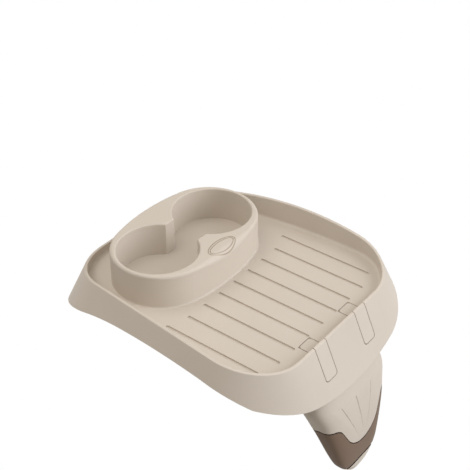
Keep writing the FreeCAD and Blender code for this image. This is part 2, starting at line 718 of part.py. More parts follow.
def skin_core(name, depth, depth_formula):
    """The solid tray less a skin of the given depth on its top, front and sunken floor."""
    side = depth / math.cos(math.radians(size("skirt_draft")))
    side_formula = "- (%s) / cos(Sizes.skirt_draft * 1 deg)" % depth_formula
    outer = extrude(name + "Flare", tray_outline(
        name + "Outline", pair("rim_apex"),
        pair("outline_front", -side, side_formula), pair("outline_back", -side, side_formula),
        pair("outline_half_width", -side, side_formula), pair("side_centre_y"),
        pair("side_radius", -side, side_formula),
        pair("front_corner_radius", -side, side_formula),
        pair("back_corner_radius", -side, side_formula)), 0, size("skirt_reach"), 0,
        {"LengthRev": "Sizes.skirt_reach + 1", "TaperAngleRev": "Sizes.skirt_draft"})
    under = extrude(name + "UnderRim",
                    side_arch(name + "Arch", depth, "- (%s)" % depth_formula, BELOW - 5), REACH, REACH)
    level = (FLOOR - depth, "Sizes.floor_thick - (%s)" % depth_formula)
    hole = extrude(name + "Basin", basin_outline(name + "BasinOutline", level, depth,
                                                 "+ (%s)" % depth_formula), 60)
    doc.recompute()
    rounded = fillet(name + "BasinRounded", hole, [
        (edges_where(hole.Shape, lambda e: level_edge(e, level[0])), size("floor_round") + depth)])
    return boolean("Cut", name, boolean("Common", name + "Body", outer, under), rounded)


THICK = size("hook_thick")
GAP = size("hook_gap")
hook_core = skin_core("HookCore", THICK, "Sizes.hook_thick")
seat_core = skin_core("HookSeatCore", THICK + GAP, "Sizes.hook_thick + Sizes.hook_gap")
tray_solid = boolean("Cut", "TraySolid", envelope, basin)
doc.recompute()
top_edges = edges_where(tray_solid.Shape, on_arch)
tray_solid_rounded = fillet("TraySolidRounded", tray_solid, [(top_edges, size("rim_round"))])
doc.recompute()


def prism(name, side, grow):
    """The block that bounds one hook: side is 1 or -1, and grow is a formula."""
    block = box(name + "Block", "Sizes.hook_width + 2 * (%s)" % grow,
                "80", "Sizes.hook_drop + 40 + (%s)" % grow,
                "%d * Sizes.hook_x - Sizes.hook_width / 2 - (%s)" % (side, grow),
                "-(%s) + Sizes.rim_land + Sizes.hook_pad + (%s) - 80"
                % (rim_reach_formula("outline_front", 1), grow),
                "-Sizes.hook_drop - (%s)" % grow)
    doc.recompute()
    low = block.Shape.BoundBox.ZMin
    back = block.Shape.BoundBox.YMax
    return fillet(name, block, [
        (edges_where(block.Shape, lambda e: level_edge(e, low) and abs(mid_point(e).y - back) > 1
                     and abs(mid_point(e).y - back) < 79), size("hook_corner")),
        (edges_where(block.Shape, lambda e: abs(mid_point(e).y - back) < 0.01
                     and abs(e.Vertexes[0].Point.z - e.Vertexes[1].Point.z) > 1), 1.2)])


LEAN = size("skirt_draft")
ALONG = FreeCAD.Rotation(FreeCAD.Vector(1, 0, 0), -(90 + LEAN))


def skirt_rod(name, x, radius, start, end):
    """A cylinder square to the front skirt at the hooks' studs, from one depth to another."""
    solid = doc.addObject("Part::Cylinder", name)
    solid.Placement = FreeCAD.Placement(FreeCAD.Vector(), ALONG)
    solid.setExpression("Radius", radius)
    solid.setExpression("Height", "(%s) - (%s)" % (end, start))
    tan, cos, sin = ("%s(Sizes.skirt_draft * 1 deg)" % f for f in ("tan", "cos", "sin"))
    return placed(solid, x,
                  "-Sizes.outline_front - (Sizes.rim_apex + Sizes.stud_drop) * %s + (%s) * %s"
                  % (tan, start, cos),
                  "-Sizes.stud_drop - (%s) * %s" % (start, sin))


hooks = []
seats = []
for side, word in ((-1, "left"), (1, "right")):
    x = "%d * Sizes.hook_x" % side
    tag = word.capitalize()
    strap = boolean("Cut", "HookStrap" + tag,
                    boolean("Common", "HookSkin" + tag, tray_solid_rounded, prism("HookPrism" + tag, side, "0")),
                    hook_core)
    stud = skirt_rod("HookStud" + tag, x, "Sizes.stud_radius", "Sizes.hook_thick / 2", "Sizes.stud_length")
    bore = skirt_rod("HookBore" + tag, x, "Sizes.screw_radius + Sizes.screw_gap",
                     "Sizes.hook_thick + 0.6", "Sizes.stud_length + 1")
    hook = boolean("Cut", "hook_strap_" + word, boolean("Fuse", "HookWithStud" + tag, strap, stud), bore)
    hooks.append(hook)
    seats.append(boolean("Cut", "HookSeat" + tag, prism("HookSeatPrism" + tag, side, "Sizes.hook_gap"),
                         seat_core))
    seats.append(skirt_rod("StudHole" + tag, x, "Sizes.stud_radius + Sizes.screw_gap", "-2", "9"))
tray = boolean("Cut", "tray", rounded_tray, fuse("HookSeats", seats))
doc.recompute()


# The leg: closed smooth sections at several heights, joined by a loft.
def leg_section(name, station, inset):
    """A closed curve between an ellipse and a rectangle, kept inside the leg's outer skin."""
    half = size("station%d_half" % station) - inset
    depth = size("station%d_depth" % station) - 2 * inset
    front = -size("station%d_front" % station) + inset
    power = 2 / size("leg_squareness")
    points = []
    for k in range(32):
        a = 2 * math.pi * (k + 0.5) / 32
        x = math.copysign(abs(math.cos(a)) ** power, math.cos(a)) * half
        y = math.copysign(abs(math.sin(a)) ** power, math.sin(a)) * depth / 2
        points.append(FreeCAD.Vector(x, front + depth / 2 + y, 0))
    curve = Part.BSplineCurve()
    curve.interpolate(points, PeriodicFlag=True)
    section = doc.addObject("Part::Feature", name)
    section.Shape = Part.Wire([curve.toShape()])
    section.setExpression("Placement.Base.z", "-Sizes.station%d_down" % station)
    return section


def leg_loft(name, inset, last):
    loft = doc.addObject("Part::Loft", name)
    loft.Sections = [leg_section(name + "Section%d" % k, k, inset) for k in range(1, last + 1)]
    loft.Solid = True
    loft.Ruled = False
    return loft


leg_outer = leg_loft("LegOuter", 0.0, 11)
leg_under_grip = leg_loft("LegUnderGrip", size("grip_thick") + size("grip_gap"), 10)
grip_inner = leg_loft("GripInner", size("grip_thick"), 10)
leg_hollow_upper = leg_loft("LegHollowUpper", size("leg_wall"), 8)
leg_hollow_lower = leg_loft("LegHollowLower", size("leg_wall") + size("grip_thick"), 8)


def split_y(down):
    """Formula for the Y at which the leg's two shells meet, at a level below the top."""
    return "sqrt(Sizes.split_radius ^ 2 - (Sizes.split_centre_down - %s) ^ 2)" % down


def region_below(name, seam):
    """What lies below the grip's upper edge: a tongue hangs down in front, and the sides
    fall toward the back. The seam is a formula that lowers the edge."""
    front = new_sketch(name + "Front", FRONTAL, (0, 150, 0), {"z": "-(%s)" % seam})
    r = size("tongue_radius")
    half, top, low = size("tongue_half_width"), size("grip_side_top"), size("tongue_bottom")
    centre = (0.0, -(low - r))
    reach = math.hypot(half, -top - centre[1])
    a = math.atan2(-top - centre[1], half) - math.acos(r / reach)
    touch = (r * math.cos(a), centre[1] + r * math.sin(a))
    g = [
        add_line(front, (-90, -top), (-half, -top)),
        add_line(front, (-half, -top), (-touch[0], touch[1])),
        add_arc(front, centre, r, math.pi - a, 2 * math.pi + a),
        add_line(front, touch, (half, -top)),
        add_line(front, (half, -top), (90, -top)),
        add_line(front, (90, -top), (90, -160)),
        add_line(front, (90, -160), (-90, -160)),
        add_line(front, (-90, -160), (-90, -top)),
    ]
    for first, start, second, end in ((0, 2, 1, 1), (3, 2, 4, 1), (4, 2, 5, 1), (5, 2, 6, 1),
                                      (6, 2, 7, 1), (7, 2, 0, 1)):
        front.addConstraint(Sketcher.Constraint("Coincident", g[first], start, g[second], end))
    front.addConstraint(Sketcher.Constraint("Tangent", g[1], 2, g[2], 1))
    front.addConstraint(Sketcher.Constraint("Tangent", g[2], 2, g[3], 1))
    for k in (0, 4, 6):
        front.addConstraint(Sketcher.Constraint("Horizontal", g[k]))
    for k in (5, 7):
        front.addConstraint(Sketcher.Constraint("Vertical", g[k]))
    front.addConstraint(Sketcher.Constraint("PointOnObject", g[2], 3, -2))
    bind(front, "Radius", (g[2],), "tongue", r, "Sizes.tongue_radius")
    bind(front, "DistanceY", (g[2], 3, -1, 1), "tongue_y", low - r,
         "Sizes.tongue_bottom - Sizes.tongue_radius")
    bind(front, "DistanceX", (g[0], 2, -1, 1), "left", half, "Sizes.tongue_half_width")
    bind(front, "DistanceX", (-1, 1, g[3], 2), "right", half, "Sizes.tongue_half_width")
    bind(front, "DistanceY", (g[0], 2, -1, 1), "left_top", top, "Sizes.grip_side_top")
    bind(front, "DistanceY", (g[3], 2, -1, 1), "right_top", top, "Sizes.grip_side_top")
    front.addConstraint(Sketcher.Constraint("DistanceX", g[6], 2, -1, 1, 90))
    front.addConstraint(Sketcher.Constraint("DistanceX", -1, 1, g[6], 1, 90))
    front.addConstraint(Sketcher.Constraint("DistanceY", g[6], 1, -1, 1, 160))
    slab = extrude(name + "FrontSolid", front, 300)
    tilt = doc.addObject("Part::Box", name + "Tilt")
    tilt.Length, tilt.Width, tilt.Height = 200, 300, 200
    lean = FreeCAD.Rotation(FreeCAD.Vector(1, 0, 0), -size("grip_side_slope"))
    corner = FreeCAD.Vector(-100, -150, -200)
    pivot = FreeCAD.Vector(0, -size("station4_front"), 0)
    moved = pivot + lean.multVec(corner)
    tilt.Placement = FreeCAD.Placement(FreeCAD.Vector(-100, moved.y, moved.z), lean)
    tilt.setExpression("Placement.Base.z", "%f - Sizes.grip_side_top - (%s)" % (moved.z, seam))
    return boolean("Common", name, slab, tilt)


def across_box(name, low, high):
    """A wide block between two levels below the top; both are formulas."""
    return box(name, "200", "300", "(%s) - (%s)" % (high, low), "-100", "-250", "-(%s)" % high)


leg_skin = fuse("LegSkin", [boolean("Cut", "LegAboveGrip", leg_outer, region_below("GripStep", "0")),
                            leg_under_grip])
hollow_upper = boolean("Common", "HollowUpper", leg_hollow_upper,
                       across_box("UpperPart", "Sizes.station1_down + Sizes.leg_wall",
                                  "Sizes.grip_side_top - 4"))
hollow_lower = boolean("Common", "HollowLower", leg_hollow_lower,
                       across_box("LowerPart", "Sizes.grip_side_top - 6", "Sizes.station8_down - 5"))
leg_hollow = fuse("LegHollow", [hollow_upper, hollow_lower])

SHELL_SCREWS = [("-Sizes.shell_screw_x", "Sizes.shell_screw_upper"),
                ("Sizes.shell_screw_x", "Sizes.shell_screw_upper"),
                ("0", "Sizes.shell_screw_lower")]
tubes = []
front_holes = []
back_holes = []
shell_screws = []
for number, (x, down) in enumerate(SHELL_SCREWS, start=1):
    z = "-" + down
    seat = "-%s + Sizes.screw_seat" % split_y(down)
    tubes.append(rod("Tube%d" % number, "Sizes.tube_radius", "100", x, "-150", z))
    front_holes.append(rod("ShellPilot%d" % number, "Sizes.screw_radius + Sizes.screw_gap",
                           "Sizes.screw_length + 0.5", x, seat + " - Sizes.screw_length - 0.5", z))
    back_holes.append(rod("ShellHole%d" % number, "Sizes.screw_radius + Sizes.shell_gap", "30", x,
                          "-%s - 10" % split_y(down), z))
    back_holes.append(rod("ShellCounterbore%d" % number, "Sizes.screw_head_radius + Sizes.shell_gap",
                          "60", x, seat, z))
    head = rod("ShellScrewHead%d" % number, "Sizes.screw_head_radius", "Sizes.screw_head_thick", x, seat, z)
    shank = rod("ShellScrewShank%d" % number, "Sizes.screw_radius", "Sizes.screw_length", x,
                seat + " - Sizes.screw_length", z)
    recess = rod("ShellScrewRecess%d" % number, "Sizes.screw_radius * 0.7", "10", x,
                 seat + " + Sizes.screw_head_thick / 2", z)
    shell_screws.append(boolean("Cut", "shell_screw_%d" % number,
                                boolean("Fuse", "ShellScrewBody%d" % number, head, shank), recess))
hook_bosses = []
hook_boss_holes = []
hook_screws = []
for side, word in ((-1, "left"), (1, "right")):
    x = "%d * Sizes.hook_x" % side
    tag = word.capitalize()
    seat = "Sizes.stud_length + Sizes.screw_seat"
    hook_bosses.append(skirt_rod("HookBoss" + tag, x, "Sizes.stud_radius + Sizes.screw_seat",
                                 "Sizes.wall_thick + Sizes.hook_gap", seat))
    hook_boss_holes.append(skirt_rod("BossHole" + tag, x, "Sizes.stud_radius + Sizes.screw_gap",
                                     "0", "Sizes.stud_length + Sizes.shell_gap"))
    hook_boss_holes.append(skirt_rod("BossScrewHole" + tag, x, "Sizes.screw_radius + Sizes.shell_gap",
                                     "0", seat + " + 1"))
    hook_boss_holes.append(skirt_rod("BossHeadRoom" + tag, x,
                                     "Sizes.screw_head_radius + 2 * Sizes.shell_gap",
                                     seat, seat + " + Sizes.screw_head_thick + 4"))
    head = skirt_rod("HookScrewHead" + tag, x, "Sizes.screw_head_radius", seat,
                     seat + " + Sizes.screw_head_thick")
    shank = skirt_rod("HookScrewShank" + tag, x, "Sizes.screw_radius", seat + " - Sizes.hook_screw_length",
                      seat)
    recess = skirt_rod("HookScrewRecess" + tag, x, "Sizes.screw_radius * 0.7",
                       seat + " + Sizes.screw_head_thick / 2", seat + " + 6")
    hook_screws.append(boolean("Cut", "hook_screw_" + word,
                               boolean("Fuse", "HookScrewBody" + tag, head, shank), recess))

tube_walls = boolean("Common", "TubeWalls", fuse("Tubes", tubes), leg_skin)
leg_solid = fuse("LegWithBosses", [boolean("Cut", "LegWalls", leg_skin, leg_hollow), tube_walls] + hook_bosses)


def split_cylinder(name, gap):
    solid = doc.addObject("Part::Cylinder", name)
    solid.Placement = FreeCAD.Placement(
        FreeCAD.Vector(-REACH, 0, 0), FreeCAD.Rotation(FreeCAD.Vector(0, 1, 0), 90))
    solid.Height = 2 * REACH
    solid.setExpression("Radius", "Sizes.split_radius + " + gap)
    solid.setExpression("Placement.Base.z", "-Sizes.split_centre_down")
    return solid


leg_front = boolean("Cut", "leg_front_shell",
                    boolean("Cut", "FrontHalf", leg_solid, split_cylinder("SplitFront", "Sizes.shell_gap")),
                    fuse("FrontHoles", front_holes + hook_boss_holes))
leg_back = boolean("Cut", "leg_back_shell",
                   boolean("Common", "BackHalf", leg_solid, split_cylinder("SplitBack", "0")),
                   fuse("BackHoles", back_holes))
leg_grip = boolean("Common", "leg_grip", boolean("Cut", "GripSkin", leg_outer, grip_inner),
                   region_below("GripEdge", "Sizes.grip_seam"))
doc.recompute()

PARTS = [tray] + hooks + [leg_front, leg_back, leg_grip] + hook_screws + shell_screws
os.makedirs("parts", exist_ok=True)
for part in PARTS:
    part.Label = part.Name
    shape = part.Shape
    if "Invalid" in part.State or "Error" in part.State or shape.isNull() or not shape.isValid():
        raise RuntimeError("%s did not build" % part.Name)
    print(part.Name, len(shape.Solids), round(shape.Volume), shape.BoundBox)
    shape.exportStep("parts/%s.step" % part.Name)
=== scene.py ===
import bisect
import math
import bmesh
import bpy
from mathutils import Matrix, Vector


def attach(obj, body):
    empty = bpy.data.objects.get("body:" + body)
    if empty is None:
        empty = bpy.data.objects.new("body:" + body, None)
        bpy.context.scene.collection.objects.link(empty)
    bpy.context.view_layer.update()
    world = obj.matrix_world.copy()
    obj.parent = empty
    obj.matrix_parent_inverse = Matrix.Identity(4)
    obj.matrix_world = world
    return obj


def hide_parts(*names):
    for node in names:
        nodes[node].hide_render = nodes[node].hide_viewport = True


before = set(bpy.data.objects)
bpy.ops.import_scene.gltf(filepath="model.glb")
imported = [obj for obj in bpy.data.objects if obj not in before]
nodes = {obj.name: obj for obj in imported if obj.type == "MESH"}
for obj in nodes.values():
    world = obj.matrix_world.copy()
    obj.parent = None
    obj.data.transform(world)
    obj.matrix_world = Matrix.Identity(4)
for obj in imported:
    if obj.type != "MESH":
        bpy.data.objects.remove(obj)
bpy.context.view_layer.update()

# Tray: one moulding in a warm beige plastic, satin all over, with the fine grain that a
# textured mould leaves and a very slight unevenness of colour.
BEIGE = (0.642, 0.583, 0.514)
BEIGE_DARK = (0.624, 0.564, 0.496)
PLASTIC_GRAIN = 2200.0
GRAIN_HEIGHT = 0.00004

grain = bpy.data.node_groups.new("MouldGrain", "ShaderNodeTree")
grain.interface.new_socket("Scale", in_out="INPUT", socket_type="NodeSocketFloat")
grain.interface.new_socket("Strength", in_out="INPUT", socket_type="NodeSocketFloat")
grain.interface.new_socket("Normal", in_out="OUTPUT", socket_type="NodeSocketVector")
grain_in = grain.nodes.new("NodeGroupInput")
grain_out = grain.nodes.new("NodeGroupOutput")
grain_place = grain.nodes.new("ShaderNodeTexCoord")
grain_noise = grain.nodes.new("ShaderNodeTexNoise")
grain_noise.inputs["Detail"].default_value = 2.0
grain_noise.inputs["Roughness"].default_value = 0.55
grain_bump = grain.nodes.new("ShaderNodeBump")
grain_bump.inputs["Distance"].default_value = GRAIN_HEIGHT
grain.links.new(grain_place.outputs["Object"], grain_noise.inputs["Vector"])
grain.links.new(grain_in.outputs["Scale"], grain_noise.inputs["Scale"])
grain.links.new(grain_in.outputs["Strength"], grain_bump.inputs["Strength"])
grain.links.new(grain_noise.outputs["Fac"], grain_bump.inputs["Height"])
grain.links.new(grain_bump.outputs["Normal"], grain_out.inputs["Normal"])

clouds = bpy.data.node_groups.new("MouldClouds", "ShaderNodeTree")
clouds.interface.new_socket("Light", in_out="INPUT", socket_type="NodeSocketColor")
clouds.interface.new_socket("Dark", in_out="INPUT", socket_type="NodeSocketColor")
clouds.interface.new_socket("Color", in_out="OUTPUT", socket_type="NodeSocketColor")
clouds_in = clouds.nodes.new("NodeGroupInput")
clouds_out = clouds.nodes.new("NodeGroupOutput")
clouds_place = clouds.nodes.new("ShaderNodeTexCoord")
clouds_noise = clouds.nodes.new("ShaderNodeTexNoise")
clouds_noise.inputs["Scale"].default_value = 18.0
clouds_noise.inputs["Detail"].default_value = 3.0
clouds_range = clouds.nodes.new("ShaderNodeMapRange")
clouds_range.inputs["From Min"].default_value = 0.35
clouds_range.inputs["From Max"].default_value = 0.65
clouds_mix = clouds.nodes.new("ShaderNodeMix")
clouds_mix.data_type = "RGBA"
clouds.links.new(clouds_place.outputs["Object"], clouds_noise.inputs["Vector"])
clouds.links.new(clouds_noise.outputs["Fac"], clouds_range.inputs["Value"])
clouds.links.new(clouds_range.outputs["Result"], clouds_mix.inputs["Factor"])
clouds.links.new(clouds_in.outputs["Light"], clouds_mix.inputs["A"])
clouds.links.new(clouds_in.outputs["Dark"], clouds_mix.inputs["B"])
clouds.links.new(clouds_mix.outputs["Result"], clouds_out.inputs["Color"])


def moulded(name, light, dark, roughness, specular, scale, strength):
    """A moulded material: two close tints, a fine grain, and a roughness and gloss of its own."""
    material = bpy.data.materials.new(name)
    material.use_nodes = True
    tree = material.node_tree
    shader = tree.nodes["Principled BSDF"]
    shader.inputs["Roughness"].default_value = roughness
    shader.inputs["Specular IOR Level"].default_value = specular
    tint = tree.nodes.new("ShaderNodeGroup")
    tint.node_tree = clouds
    tint.inputs["Light"].default_value = (*light, 1)
    tint.inputs["Dark"].default_value = (*dark, 1)
    surface = tree.nodes.new("ShaderNodeGroup")
    surface.node_tree = grain
    surface.inputs["Scale"].default_value = scale
    surface.inputs["Strength"].default_value = strength
    tree.links.new(tint.outputs["Color"], shader.inputs["Base Color"])
    tree.links.new(surface.outputs["Normal"], shader.inputs["Normal"])
    return material


def dress(node, material):
    for place in nodes[node].material_slots:
        place.material = material


tray_plastic = moulded("TrayPlastic", BEIGE, BEIGE_DARK, roughness=0.5, specular=0.28,
                       scale=PLASTIC_GRAIN, strength=0.35)
dress("tray", tray_plastic)

# Badge: two oval lines sunk in the well's roll, darkened with painted shade as if shadowed in
# their hollows. They are found again, in metres, from the oval's half length and half width,
# its middle, the width of a line, the step from one line to the next, and a height that both lie above.
BADGE_HALVES = (0.0155, 0.00725)
BADGE_Y = 0.0096
BADGE_LINE = 0.0007
BADGE_STEP = 0.0018
BADGE_ABOVE = 0.015
BADGE_PAINTED_SHADE = (0.45, 0.375, 0.295)


def mask_group(name):
    """A node group that puts out a mask, with the axes of the place it is asked for."""
    group = bpy.data.node_groups.new(name, "ShaderNodeTree")
    group.interface.new_socket("Mask", in_out="OUTPUT", socket_type="NodeSocketFloat")
    place = group.nodes.new("ShaderNodeTexCoord")
    axes = group.nodes.new("ShaderNodeSeparateXYZ")
    group.links.new(place.outputs["Object"], axes.inputs["Vector"])
    return group, axes.outputs["X"], axes.outputs["Y"], axes.outputs["Z"]


def worked(group, kind, first, second=0.0):
    """One step of arithmetic inside a group, on sockets or plain numbers."""
    node = group.nodes.new("ShaderNodeMath")
    node.operation = kind
    for socket, value in zip(node.inputs, (first, second)):
        if isinstance(value, float):
            socket.default_value = value
        else:
            group.links.new(value, socket)
    return node.outputs["Value"]


def tinted(material, group, tint):
    """Lays a tint over a material's own colour where a group's mask says so."""
    tree = material.node_tree
    shader = tree.nodes["Principled BSDF"]
    under = shader.inputs["Base Color"].links[0].from_socket
    mask = tree.nodes.new("ShaderNodeGroup")
    mask.node_tree = group
    mix = tree.nodes.new("ShaderNodeMix")
    mix.data_type = "RGBA"
    mix.inputs["B"].default_value = (*tint, 1)
    tree.links.new(mask.outputs["Mask"], mix.inputs["Factor"])
    tree.links.new(under, mix.inputs["A"])
    tree.links.new(mix.outputs["Result"], shader.inputs["Base Color"])


badge, badge_x, badge_y, badge_z = mask_group("BadgeLines")
badge_y = worked(badge, "SUBTRACT", badge_y, BADGE_Y)


def within_oval(shrink):
    """A mask of the badge's oval, drawn in all round by a shrink."""
    across = worked(badge, "DIVIDE", badge_x, BADGE_HALVES[0] - shrink)
    along = worked(badge, "DIVIDE", badge_y, BADGE_HALVES[1] - shrink)
    reach = worked(badge, "ADD", worked(badge, "MULTIPLY", across, across),
                   worked(badge, "MULTIPLY", along, along))
    return worked(badge, "LESS_THAN", reach, 1.0)


badge_outer = worked(badge, "SUBTRACT", within_oval(0.0), within_oval(BADGE_LINE))
badge_inner = worked(badge, "SUBTRACT", within_oval(BADGE_STEP), within_oval(BADGE_STEP + BADGE_LINE))
badge_mask = worked(badge, "MULTIPLY", worked(badge, "ADD", badge_outer, badge_inner),
                    worked(badge, "GREATER_THAN", badge_z, BADGE_ABOVE))
badge.links.new(badge_mask, badge.nodes.new("NodeGroupOutput").inputs["Mask"])
# The badge's two lines get painted shade, as if shadowed in their hollows.
tinted(tray_plastic, badge, BADGE_PAINTED_SHADE)

# Front hooks: the same beige, each one piece, set flush in the rim with a thin line of painted
# shadow around it, and held from inside the leg. The line is drawn from the strap's own
# sizes, in metres: its place across, half width, corner, lower end and pad end.
HOOK_ACROSS = 0.0270
HOOK_HALF = 0.0073
HOOK_CORNER = 0.0030
HOOK_LOW = -0.0184
HOOK_PAD_END = -0.0902
SEAM_WIDTH = 0.0004
HOOK_SEAM_SHADE = (0.33, 0.27, 0.215)
seam, seam_x, seam_y, seam_z = mask_group("HookSeamShade")
seam_across = worked(seam, "SUBTRACT", worked(seam, "ABSOLUTE", seam_x), HOOK_ACROSS)
seam_across = worked(seam, "ABSOLUTE", seam_across)
seam_across = worked(seam, "SUBTRACT", seam_across, HOOK_HALF - HOOK_CORNER)
seam_across = worked(seam, "MAXIMUM", seam_across, 0.0)
seam_end = worked(seam, "MAXIMUM", worked(seam, "SUBTRACT", HOOK_CORNER + HOOK_LOW, seam_z),
                  worked(seam, "SUBTRACT", seam_y, HOOK_PAD_END - HOOK_CORNER))
seam_end = worked(seam, "MAXIMUM", seam_end, 0.0)
seam_reach = worked(seam, "ADD", worked(seam, "MULTIPLY", seam_across, seam_across),
                    worked(seam, "MULTIPLY", seam_end, seam_end))
seam_reach = worked(seam, "SQRT", seam_reach)
seam_mask = worked(seam, "GREATER_THAN", seam_reach, HOOK_CORNER - SEAM_WIDTH)
seam.links.new(seam_mask, seam.nodes.new("NodeGroupOutput").inputs["Mask"])
hook_plastic = moulded("HookPlastic", BEIGE, BEIGE_DARK, roughness=0.48, specular=0.35,
                       scale=PLASTIC_GRAIN, strength=0.3)
# The strap's edge gets a thin line of painted shadow.
tinted(hook_plastic, seam, HOOK_SEAM_SHADE)
dress("hook_strap_left", hook_plastic)
dress("hook_strap_right", hook_plastic)

# Leg: two halves of one beige moulding, screwed together from the back. It is worked out
# from stations down its length, each with its depth below the top, half width, distance
# of its front from the middle of the tray and thickness, in millimetres.
MM = 0.001
LEG_STATIONS = (
    (1.0, 37.0, 106.1, 34.0),
    (16.5, 40.5, 113.2, 42.0),
    (31.0, 43.6, 119.6, 38.6),
    (45.0, 46.3, 126.5, 33.8),
    (59.5, 42.0, 130.3, 31.4),
    (73.5, 37.7, 132.7, 27.4),
    (98.2, 29.5, 134.7, 20.8),
    (112.0, 23.4, 134.9, 16.1),
    (122.0, 13.4, 133.7, 14.2),
    (129.0, 7.3, 129.8, 11.4),
    (133.6, 4.2, 126.0, 7.5),
    (135.4, 1.6, 123.7, 3.5),
)
HALF_WIDTH, FRONT, THICKNESS = 1, 2, 3
LEG_SQUARENESS = 3.4
LEG_RINGS = 120
LEG_CROWDING = 1.3
LEG_SIDES = 128
LEG_TIP = 135.8
CORE_BOTTOM = 128.0
GRIP_STEP = 2.1
SPLIT_RADIUS = 119.0
SPLIT_CENTRE_DOWN = 110.0
SPLIT_SIDES = 360
SHELL_GAP = 0.2
CUT_HALF = 100.0
SCREW_SEAT = 2.5
SCREW_HOLE_RADIUS = 3.4
SCREW_HOLE_SIDES = 36
SHELL_SCREWS = ((-19.0, 32.0), (19.0, 32.0), (0.0, 57.0))
SHARP_EDGE = math.radians(30.0)
leg_downs = [station[0] for station in LEG_STATIONS]


def leg_size(column, down):
    """One size of the leg at a depth below its top, on a smooth curve through the stations."""
    k = max(0, min(len(leg_downs) - 2, bisect.bisect_right(leg_downs, down) - 1))
    values = [station[column] for station in LEG_STATIONS]
    slopes = []
    for i in (k, k + 1):
        low, high = max(0, i - 1), min(len(values) - 1, i + 1)
        slopes.append((values[high] - values[low]) / (leg_downs[high] - leg_downs[low]))
    span = leg_downs[k + 1] - leg_downs[k]
    t = (down - leg_downs[k]) / span
    return ((2 * t ** 3 - 3 * t ** 2 + 1) * values[k] + (t ** 3 - 2 * t ** 2 + t) * span * slopes[0]
            + (3 * t ** 2 - 2 * t ** 3) * values[k + 1] + (t ** 3 - t ** 2) * span * slopes[1])


def leg_ring(down, inset):
    """The leg's outline at one depth, as points between an ellipse and a rectangle."""
    half = leg_size(HALF_WIDTH, down) - inset
    depth = leg_size(THICKNESS, down) - 2 * inset
    middle = -leg_size(FRONT, down) + inset + depth / 2
    ring = []
    for k in range(LEG_SIDES):
        turn = 2 * math.pi * (k + 0.5) / LEG_SIDES
        x = math.copysign(abs(math.cos(turn)) ** (2 / LEG_SQUARENESS), math.cos(turn)) * half
        y = math.copysign(abs(math.sin(turn)) ** (2 / LEG_SQUARENESS), math.sin(turn)) * depth / 2
        ring.append(Vector((x, middle + y, -down)) * MM)
    return ring


def solid_piece(name, points, faces):
    """A closed mesh from points and faces, with every face looking outward."""
    mesh = bpy.data.meshes.new(name)
    mesh.from_pydata(points, [], faces)
    turned = bmesh.new()
    turned.from_mesh(mesh)
    bmesh.ops.recalc_face_normals(turned, faces=turned.faces)
    turned.to_mesh(mesh)
    turned.free()
    piece = bpy.data.objects.new(name, mesh)
    bpy.context.collection.objects.link(piece)
    return piece


def leg_body(name, inset, bottom):
    """The leg's closed shape, drawn in by an inset, down to a depth below the top."""
    length = bottom - leg_downs[0]
    downs = [bottom - length * (1 - k / (LEG_RINGS - 1)) ** LEG_CROWDING for k in range(LEG_RINGS)]
    points = [point for down in downs for point in leg_ring(down, inset)]
    faces = [tuple(range(LEG_SIDES))]
    for r in range(LEG_RINGS - 1):
        for k in range(LEG_SIDES):
            n = (k + 1) % LEG_SIDES
            a, b = r * LEG_SIDES, (r + 1) * LEG_SIDES
            faces.append((a + k, a + n, b + n, b + k))
    faces.append(tuple(range((LEG_RINGS - 1) * LEG_SIDES, LEG_RINGS * LEG_SIDES)))
    return solid_piece(name, points, faces)


def slab(name, outline, low, high, lift):
    """A flat outline pushed from a low to a high value of one axis; lift places its points."""
    points = [lift(u, v, low) for u, v in outline] + [lift(u, v, high) for u, v in outline]
    n = len(outline)
    faces = [tuple(range(n)), tuple(range(n, 2 * n))]
    faces += [(k, (k + 1) % n, n + (k + 1) % n, n + k) for k in range(n)]
    return solid_piece(name, points, faces)


def from_front(u, v, w):
    return Vector((u, w, v)) * MM


def from_side(u, v, w):
    return Vector((w, u, v)) * MM


def carve(piece, tools, kind):
    """Cuts, keeps or joins solids, and throws the tools away."""
    for tool in tools:
        change = piece.modifiers.new("carve", "BOOLEAN")
        change.operation = kind
        change.solver = "EXACT"
        change.object = tool
        seen = piece.evaluated_get(bpy.context.evaluated_depsgraph_get())
        mesh = bpy.data.meshes.new_from_object(seen)
        piece.modifiers.clear()
        piece.data = mesh
        bpy.data.objects.remove(tool)
    return piece


def copy_of(piece, name, turn=None):
    """A second piece of the same shape, turned or moved if a turn is given."""
    twin = bpy.data.objects.new(name, piece.data.copy())
    bpy.context.collection.objects.link(twin)
    if turn is not None:
        twin.data.transform(turn)
    return twin


def arc(centre, radius, start, end, steps):
    """Points along a part of a circle, both ends counted."""
    points = []
    for k in range(steps + 1):
        turn = start + (end - start) * k / steps
        points.append((centre[0] + radius * math.cos(turn), centre[1] + radius * math.sin(turn)))
    return points


def round_outline(centre, radius, sides):
    """A whole circle as an outline."""
    return arc(centre, radius, 0, 2 * math.pi * (sides - 1) / sides, sides - 1)


def wall_cylinder(name, radius):
    """A wide cylinder along X, about the middle of the round-topped wall."""
    outline = round_outline((0.0, -SPLIT_CENTRE_DOWN), radius, SPLIT_SIDES)
    return slab(name, outline, -CUT_HALF, CUT_HALF, from_side)


# Where the grip lies: below a line that dips in front as a wide tongue with rounded
# shoulders and falls toward the back, and above the bare toe. ROOM and CUT sizes say
# how far the solids that cut it out reach past the leg.
GRIP_TOP = 64.0
TONGUE_BOTTOM = 92.2
TONGUE_RADIUS = 24.0
TONGUE_HALF = 29.7
TONGUE_STEPS = 24
SHOULDER_ROUND = 9.0
SHOULDER_STEPS = 10
GRIP_SLOPE = math.radians(24.0)
GRIP_PIVOT = -117.5
TOE_START = (-134.8, -113.0)
TOE_SLOPE = math.radians(54.6)
GRIP_SEAM = 1.1
ROOM_HALF = 90.0
ROOM_BOTTOM = -160.0
ROOM_FRONT = -170.0
ROOM_BACK = -20.0
CUT_FRONT = -200.0
CUT_TOP = 60.0
CUT_BOTTOM = -400.0
TOE_BACK = -60.0


